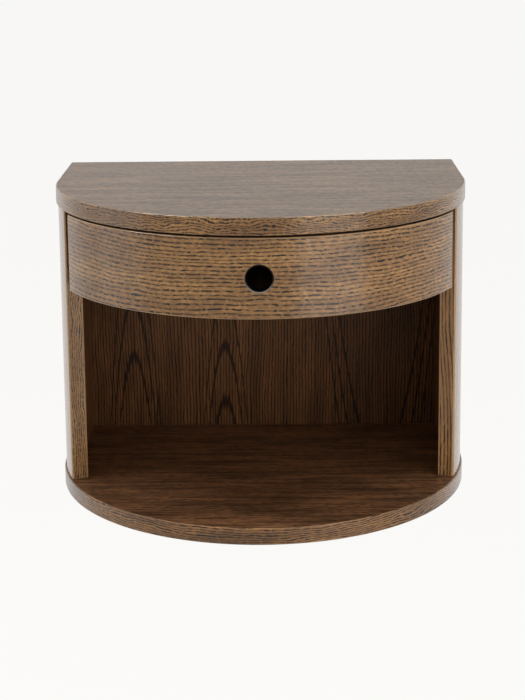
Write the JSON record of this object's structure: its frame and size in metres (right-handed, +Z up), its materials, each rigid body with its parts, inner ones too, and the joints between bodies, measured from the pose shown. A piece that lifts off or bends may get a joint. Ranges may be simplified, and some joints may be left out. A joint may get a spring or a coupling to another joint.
{
  "type": "floating nightstand",
  "caption": "Half-round wall-hung nightstand with a curved drawer on telescopic runners over an open compartment.",
  "frame": {"origin": "middle of the base, under the centre of the bounding box; the wall face is 157.5 mm behind it", "axes": "+X to the right seen from the front, +Y towards the wall (the front faces -Y), +Z up"},
  "size_m": [0.4, 0.315, 0.3],
  "materials": {
    "stained_oak": "satin dark-stained oak veneer",
    "drawer_box_wood": "clear-lacquered birch plywood",
    "batten_wood": "planed softwood",
    "beech_dowel": "bare beech",
    "zinc_plated_steel": "zinc-plated",
    "black_liner": "satin black"
  },
  "bodies": {
    "carcass": {"top_panel": "stained_oak", "bottom_panel": "stained_oak", "side_panel_left": "stained_oak", "side_panel_right": "stained_oak", "back_panel": "stained_oak", "runner_batten_left": "batten_wood", "runner_batten_right": "batten_wood", "side_dowel_left_bottom_rear": "beech_dowel", "side_dowel_left_bottom_front": "beech_dowel", "side_dowel_left_top_rear": "beech_dowel", "side_dowel_left_top_front": "beech_dowel", "side_dowel_right_bottom_rear": "beech_dowel", "side_dowel_right_bottom_front": "beech_dowel", "side_dowel_right_top_rear": "beech_dowel", "side_dowel_right_top_front": "beech_dowel", "back_dowel_left_bottom": "beech_dowel", "back_dowel_left_top": "beech_dowel", "back_dowel_right_bottom": "beech_dowel", "back_dowel_right_top": "beech_dowel", "back_end_dowel_left_lower": "beech_dowel", "back_end_dowel_left_upper": "beech_dowel", "back_end_dowel_right_lower": "beech_dowel", "back_end_dowel_right_upper": "beech_dowel", "keyhole_plate_left": "zinc_plated_steel", "keyhole_plate_right": "zinc_plated_steel", "plate_screw_left_lower": "zinc_plated_steel", "plate_screw_left_upper": "zinc_plated_steel", "plate_screw_right_lower": "zinc_plated_steel", "plate_screw_right_upper": "zinc_plated_steel", "cabinet_runner_left": "zinc_plated_steel", "cabinet_runner_right": "zinc_plated_steel", "cabinet_runner_screw_left_front": "zinc_plated_steel", "cabinet_runner_screw_left_rear": "zinc_plated_steel", "cabinet_runner_screw_right_front": "zinc_plated_steel", "cabinet_runner_screw_right_rear": "zinc_plated_steel"},
    "drawer": {"drawer_front": "stained_oak", "finger_hole_liner": "black_liner", "drawer_side_left": "drawer_box_wood", "drawer_side_right": "drawer_box_wood", "drawer_back": "drawer_box_wood", "drawer_bottom": "drawer_box_wood", "drawer_dowel_left_lower": "beech_dowel", "drawer_dowel_left_upper": "beech_dowel", "drawer_dowel_right_lower": "beech_dowel", "drawer_dowel_right_upper": "beech_dowel", "drawer_runner_left": "zinc_plated_steel", "drawer_runner_right": "zinc_plated_steel", "drawer_runner_screw_left_front": "zinc_plated_steel", "drawer_runner_screw_left_rear": "zinc_plated_steel", "drawer_runner_screw_right_front": "zinc_plated_steel", "drawer_runner_screw_right_rear": "zinc_plated_steel"},
    "middle_left": {"middle_runner_left": "zinc_plated_steel"},
    "middle_right": {"middle_runner_right": "zinc_plated_steel"},
    "outer_cage_left": {"outer_ball_cage_left": "zinc_plated_steel"},
    "outer_cage_right": {"outer_ball_cage_right": "zinc_plated_steel"},
    "inner_cage_left": {"inner_ball_cage_left": "zinc_plated_steel"},
    "inner_cage_right": {"inner_ball_cage_right": "zinc_plated_steel"}
  },
  "joints": [
    {"name": "drawer_slide", "type": "slide", "parent": "carcass", "child": "drawer", "axis": [0, -1, 0], "range_m": [0, 0.15]},
    {"name": "middle_left_slide", "type": "slide", "parent": "carcass", "child": "middle_left", "axis": [0, -1, 0], "range_m": [0, 0.075]},
    {"name": "middle_right_slide", "type": "slide", "parent": "carcass", "child": "middle_right", "axis": [0, -1, 0], "range_m": [0, 0.075]},
    {"name": "outer_cage_left_slide", "type": "slide", "parent": "carcass", "child": "outer_cage_left", "axis": [0, -1, 0], "range_m": [0, 0.0375]},
    {"name": "outer_cage_right_slide", "type": "slide", "parent": "carcass", "child": "outer_cage_right", "axis": [0, -1, 0], "range_m": [0, 0.0375]},
    {"name": "inner_cage_left_slide", "type": "slide", "parent": "carcass", "child": "inner_cage_left", "axis": [0, -1, 0], "range_m": [0, 0.1125]},
    {"name": "inner_cage_right_slide", "type": "slide", "parent": "carcass", "child": "inner_cage_right", "axis": [0, -1, 0], "range_m": [0, 0.1125]}
  ],
  "couplings": [
    {"joint": "middle_left_slide", "follows": "drawer_slide", "ratio": 0.5},
    {"joint": "middle_right_slide", "follows": "drawer_slide", "ratio": 0.5},
    {"joint": "outer_cage_left_slide", "follows": "drawer_slide", "ratio": 0.25},
    {"joint": "outer_cage_right_slide", "follows": "drawer_slide", "ratio": 0.25},
    {"joint": "inner_cage_left_slide", "follows": "drawer_slide", "ratio": 0.75},
    {"joint": "inner_cage_right_slide", "follows": "drawer_slide", "ratio": 0.75}
  ]
}
